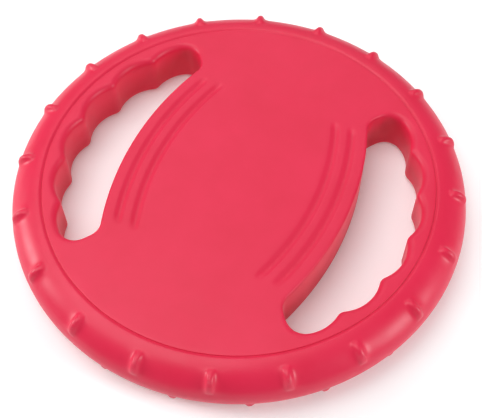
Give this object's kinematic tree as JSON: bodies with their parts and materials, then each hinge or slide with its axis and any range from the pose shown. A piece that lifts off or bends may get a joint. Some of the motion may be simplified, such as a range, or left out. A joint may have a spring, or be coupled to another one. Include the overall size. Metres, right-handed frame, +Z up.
{
  "type": "flying ring",
  "caption": "Soft rubber flying ring with a foam core, two crescent hand openings with finger hollows, and a round rim with staggered fins above and below.",
  "frame": {"origin": "on the ring's axis, at the level of the ground that it lies on", "axes": "+Z up along the ring's axis; +X through the middle of the right hand opening; +Y along the plate between the openings"},
  "size_m": [0.22, 0.22, 0.0249],
  "materials": {
    "core_foam": "closed-cell foam, matt",
    "face_rubber": "soft-touch moulded rubber, satin",
    "rim_rubber": "soft-touch moulded rubber, satin"
  },
  "bodies": {
    "root": {"foam_core": "core_foam", "upper_face": "face_rubber", "lower_face": "face_rubber", "rim_bumper": "rim_rubber"}
  },
  "joints": []
}
